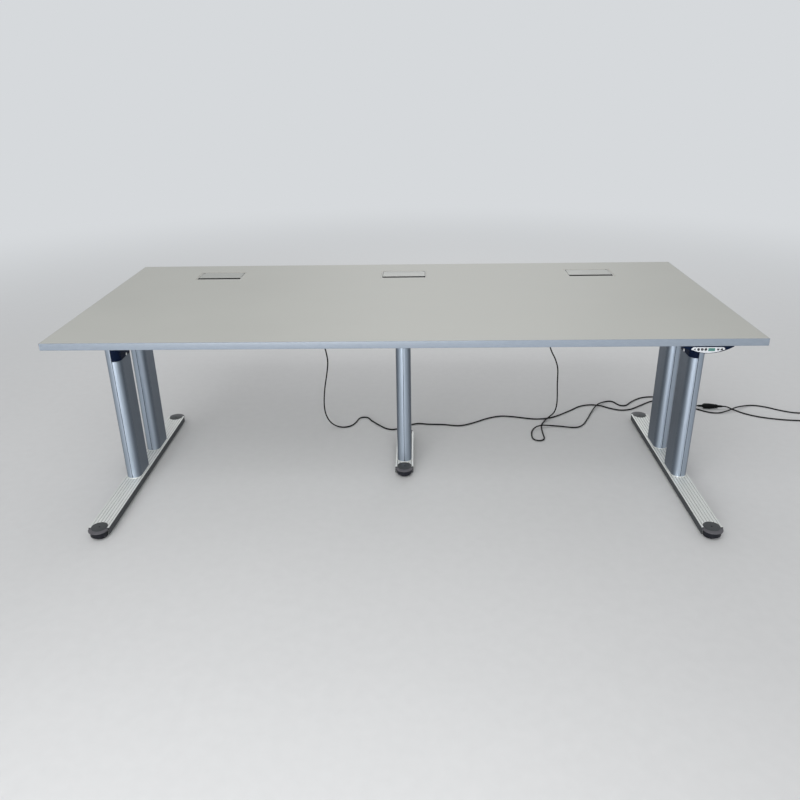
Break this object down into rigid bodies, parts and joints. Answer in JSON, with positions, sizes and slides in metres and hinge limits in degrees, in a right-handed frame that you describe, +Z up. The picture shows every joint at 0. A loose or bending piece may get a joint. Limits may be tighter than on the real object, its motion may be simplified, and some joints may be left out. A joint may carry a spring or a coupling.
{
  "type": "sit-stand desk",
  "caption": "Height-adjustable office desk: long light grey top with lidded cable flaps, telescoping oval columns on ribbed feet, push-button handset under the edge and mains leads.",
  "frame": {"origin": "on the floor, under the middle of the desk without its leads", "axes": "+X along the desk to the user's right, +Y to the rear, +Z up; the user sits on the -Y side"},
  "size_m": [3.3063, 1.2912, 0.736],
  "materials": {
    "grey_laminate": "light grey melamine-faced chipboard, fine matt texture",
    "flap_grey": "light grey moulded plastic",
    "anodised_aluminium": "extruded, satin anodised",
    "ribbed_aluminium": "extruded with lengthwise ribs, satin",
    "dark_grey_plastic": "dark grey moulded plastic",
    "black_plastic": "black moulded plastic, fine grain",
    "silver_paint": "silver grey powder coat",
    "bright_steel": "drawn and ground steel",
    "key_grey": "silver grey key caps",
    "black_pvc": "black flexible PVC"
  },
  "bodies": {
    "base": {"foot_left": "ribbed_aluminium", "foot_centre": "ribbed_aluminium", "foot_right": "ribbed_aluminium", "foot_cap_left_front": "dark_grey_plastic", "foot_cap_left_rear": "dark_grey_plastic", "foot_cap_centre_front": "dark_grey_plastic", "foot_cap_centre_rear": "dark_grey_plastic", "foot_cap_right_front": "dark_grey_plastic", "foot_cap_right_rear": "dark_grey_plastic", "lower_column_left_front": "anodised_aluminium", "lower_column_left_rear": "anodised_aluminium", "lower_column_centre": "anodised_aluminium", "lower_column_right_front": "anodised_aluminium", "lower_column_right_rear": "anodised_aluminium", "lead_left": "black_pvc", "lead_right": "black_pvc", "lead_extension": "black_pvc", "coil_left": "black_pvc", "coil_extension": "black_pvc", "plug_left": "black_pvc", "plug_extension": "black_pvc", "coupler": "black_pvc"},
    "lift": {"desk_top": "grey_laminate", "flap_frame_left": "flap_grey", "flap_frame_centre": "flap_grey", "flap_frame_right": "flap_grey", "arm_left": "silver_paint", "arm_centre": "silver_paint", "arm_right": "silver_paint", "beam_left": "silver_paint", "beam_right": "silver_paint", "inner_tube_left_front": "bright_steel", "inner_tube_left_rear": "bright_steel", "inner_tube_centre": "bright_steel", "inner_tube_right_front": "bright_steel", "inner_tube_right_rear": "bright_steel", "motor_housing_left": "black_plastic", "motor_housing_centre": "black_plastic", "motor_housing_right": "black_plastic", "control_box_left": "black_plastic", "control_box_right": "black_plastic", "handset_housing": "black_plastic"},
    "spindle_left": {"spindle_left": "bright_steel"},
    "spindle_centre": {"spindle_centre": "bright_steel"},
    "spindle_right": {"spindle_right": "bright_steel"},
    "flap_lid_left": {"flap_lid_left": "flap_grey"},
    "flap_lid_centre": {"flap_lid_centre": "flap_grey"},
    "flap_lid_right": {"flap_lid_right": "flap_grey"},
    "key_memory": {"key_memory": "key_grey"},
    "key_1": {"key_1": "key_grey"},
    "key_2": {"key_2": "key_grey"},
    "key_3": {"key_3": "key_grey"},
    "key_down": {"key_down": "key_grey"},
    "key_up": {"key_up": "key_grey"},
    "glide_left_front": {"glide_left_front": "black_plastic"},
    "glide_left_rear": {"glide_left_rear": "black_plastic"},
    "glide_centre_front": {"glide_centre_front": "black_plastic"},
    "glide_centre_rear": {"glide_centre_rear": "black_plastic"},
    "glide_right_front": {"glide_right_front": "black_plastic"},
    "glide_right_rear": {"glide_right_rear": "black_plastic"}
  },
  "joints": [
    {"name": "height", "type": "slide", "parent": "base", "child": "lift", "axis": [0, 0, 1], "range_m": [0, 0.4], "deforming": ["lead_left", "lead_right"]},
    {"name": "spindle_left_turn", "type": "hinge", "parent": "lift", "child": "spindle_left", "pos_m": [-1.107, -0.10745, 0.3], "axis": [0, 0, 1], "range_deg": [0, 9000]},
    {"name": "spindle_centre_turn", "type": "hinge", "parent": "lift", "child": "spindle_centre", "pos_m": [0, 0.02655, 0.3], "axis": [0, 0, 1], "range_deg": [0, 9000]},
    {"name": "spindle_right_turn", "type": "hinge", "parent": "lift", "child": "spindle_right", "pos_m": [1.107, -0.10745, 0.3], "axis": [0, 0, 1], "range_deg": [0, 9000]},
    {"name": "flap_left_open", "type": "hinge", "parent": "lift", "child": "flap_lid_left", "pos_m": [-0.8, 0.43765, 0.7335], "axis": [-1, 0, 0], "range_deg": [0, 95]},
    {"name": "flap_centre_open", "type": "hinge", "parent": "lift", "child": "flap_lid_centre", "pos_m": [0, 0.43765, 0.7335], "axis": [-1, 0, 0], "range_deg": [0, 95]},
    {"name": "flap_right_open", "type": "hinge", "parent": "lift", "child": "flap_lid_right", "pos_m": [0.8, 0.43765, 0.7335], "axis": [-1, 0, 0], "range_deg": [0, 95]},
    {"name": "key_memory_press", "type": "slide", "parent": "lift", "child": "key_memory", "axis": [0, 1, 0], "range_m": [0, 0.0008], "stiffness_N_per_m": 1000},
    {"name": "key_1_press", "type": "slide", "parent": "lift", "child": "key_1", "axis": [0, 1, 0], "range_m": [0, 0.0008], "stiffness_N_per_m": 1000},
    {"name": "key_2_press", "type": "slide", "parent": "lift", "child": "key_2", "axis": [0, 1, 0], "range_m": [0, 0.0008], "stiffness_N_per_m": 1000},
    {"name": "key_3_press", "type": "slide", "parent": "lift", "child": "key_3", "axis": [0, 1, 0], "range_m": [0, 0.0008], "stiffness_N_per_m": 1000},
    {"name": "key_down_press", "type": "slide", "parent": "lift", "child": "key_down", "axis": [0, 1, 0], "range_m": [0, 0.0008], "stiffness_N_per_m": 1000},
    {"name": "key_up_press", "type": "slide", "parent": "lift", "child": "key_up", "axis": [0, 1, 0], "range_m": [0, 0.0008], "stiffness_N_per_m": 1000},
    {"name": "glide_left_front_turn", "type": "hinge", "parent": "base", "child": "glide_left_front", "pos_m": [-1.107, -0.52565, 0], "axis": [0, 0, 1], "continuous": true},
    {"name": "glide_left_rear_turn", "type": "hinge", "parent": "base", "child": "glide_left_rear", "pos_m": [-1.107, 0.41885, 0], "axis": [0, 0, 1], "continuous": true},
    {"name": "glide_centre_front_turn", "type": "hinge", "parent": "base", "child": "glide_centre_front", "pos_m": [0, -0.07135, 0], "axis": [0, 0, 1], "continuous": true},
    {"name": "glide_centre_rear_turn", "type": "hinge", "parent": "base", "child": "glide_centre_rear", "pos_m": [0, 0.24395, 0], "axis": [0, 0, 1], "continuous": true},
    {"name": "glide_right_front_turn", "type": "hinge", "parent": "base", "child": "glide_right_front", "pos_m": [1.107, -0.52565, 0], "axis": [0, 0, 1], "continuous": true},
    {"name": "glide_right_rear_turn", "type": "hinge", "parent": "base", "child": "glide_right_rear", "pos_m": [1.107, 0.41885, 0], "axis": [0, 0, 1], "continuous": true}
  ],
  "couplings": [
    {"joint": "spindle_left_turn", "follows": "height", "rad_per_m": 392.7},
    {"joint": "spindle_centre_turn", "follows": "height", "rad_per_m": 392.7},
    {"joint": "spindle_right_turn", "follows": "height", "rad_per_m": 392.7}
  ]
}
